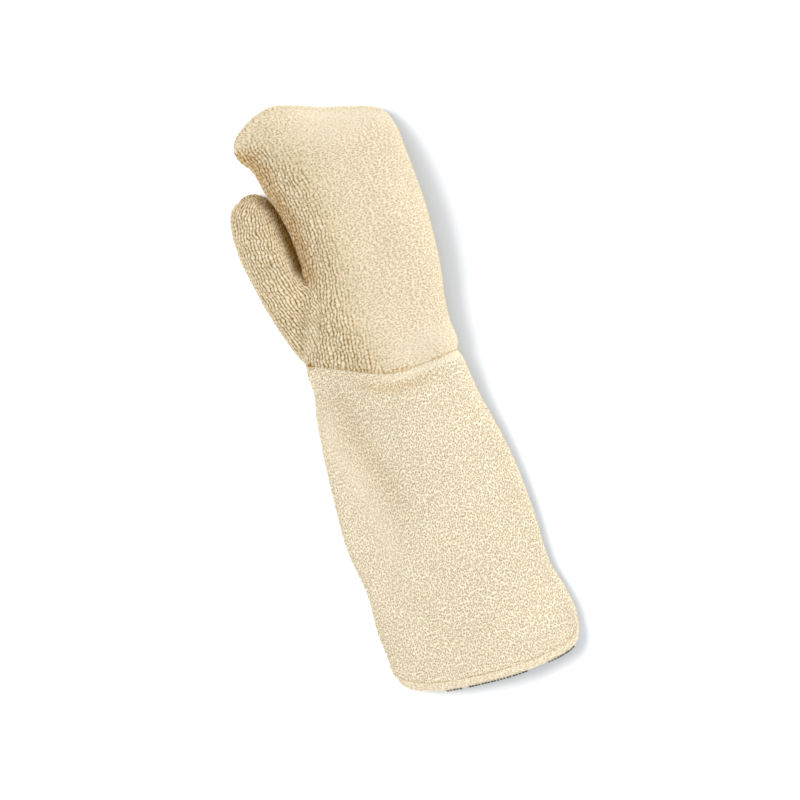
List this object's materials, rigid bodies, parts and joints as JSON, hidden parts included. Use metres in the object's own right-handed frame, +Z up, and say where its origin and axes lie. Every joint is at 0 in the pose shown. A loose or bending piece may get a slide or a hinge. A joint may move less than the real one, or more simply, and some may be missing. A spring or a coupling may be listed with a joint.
{
  "type": "heat resistant mitten",
  "caption": "Thick looped terry mitten with a sewn-on thumb and a long flared gauntlet cuff, lying flat, hollow from its hemmed mouth to the fingertips.",
  "frame": {"origin": "under the middle of the mitten's box, on the surface that it lies on", "axes": "+Y towards the fingertips, -Y towards the cuff's mouth, -X towards the thumb, +Z up from the surface it lies on"},
  "size_m": [0.2104, 0.6112, 0.0563],
  "materials": {
    "terry_cloth": "matt looped cotton terry, natural cream",
    "hem_cloth": "the same cotton, turned, pressed flat and overlocked with dark thread at its lip"
  },
  "bodies": {
    "root": {"hand": "terry_cloth", "thumb": "terry_cloth", "cuff": "terry_cloth", "mouth_hem": "hem_cloth"}
  },
  "joints": []
}
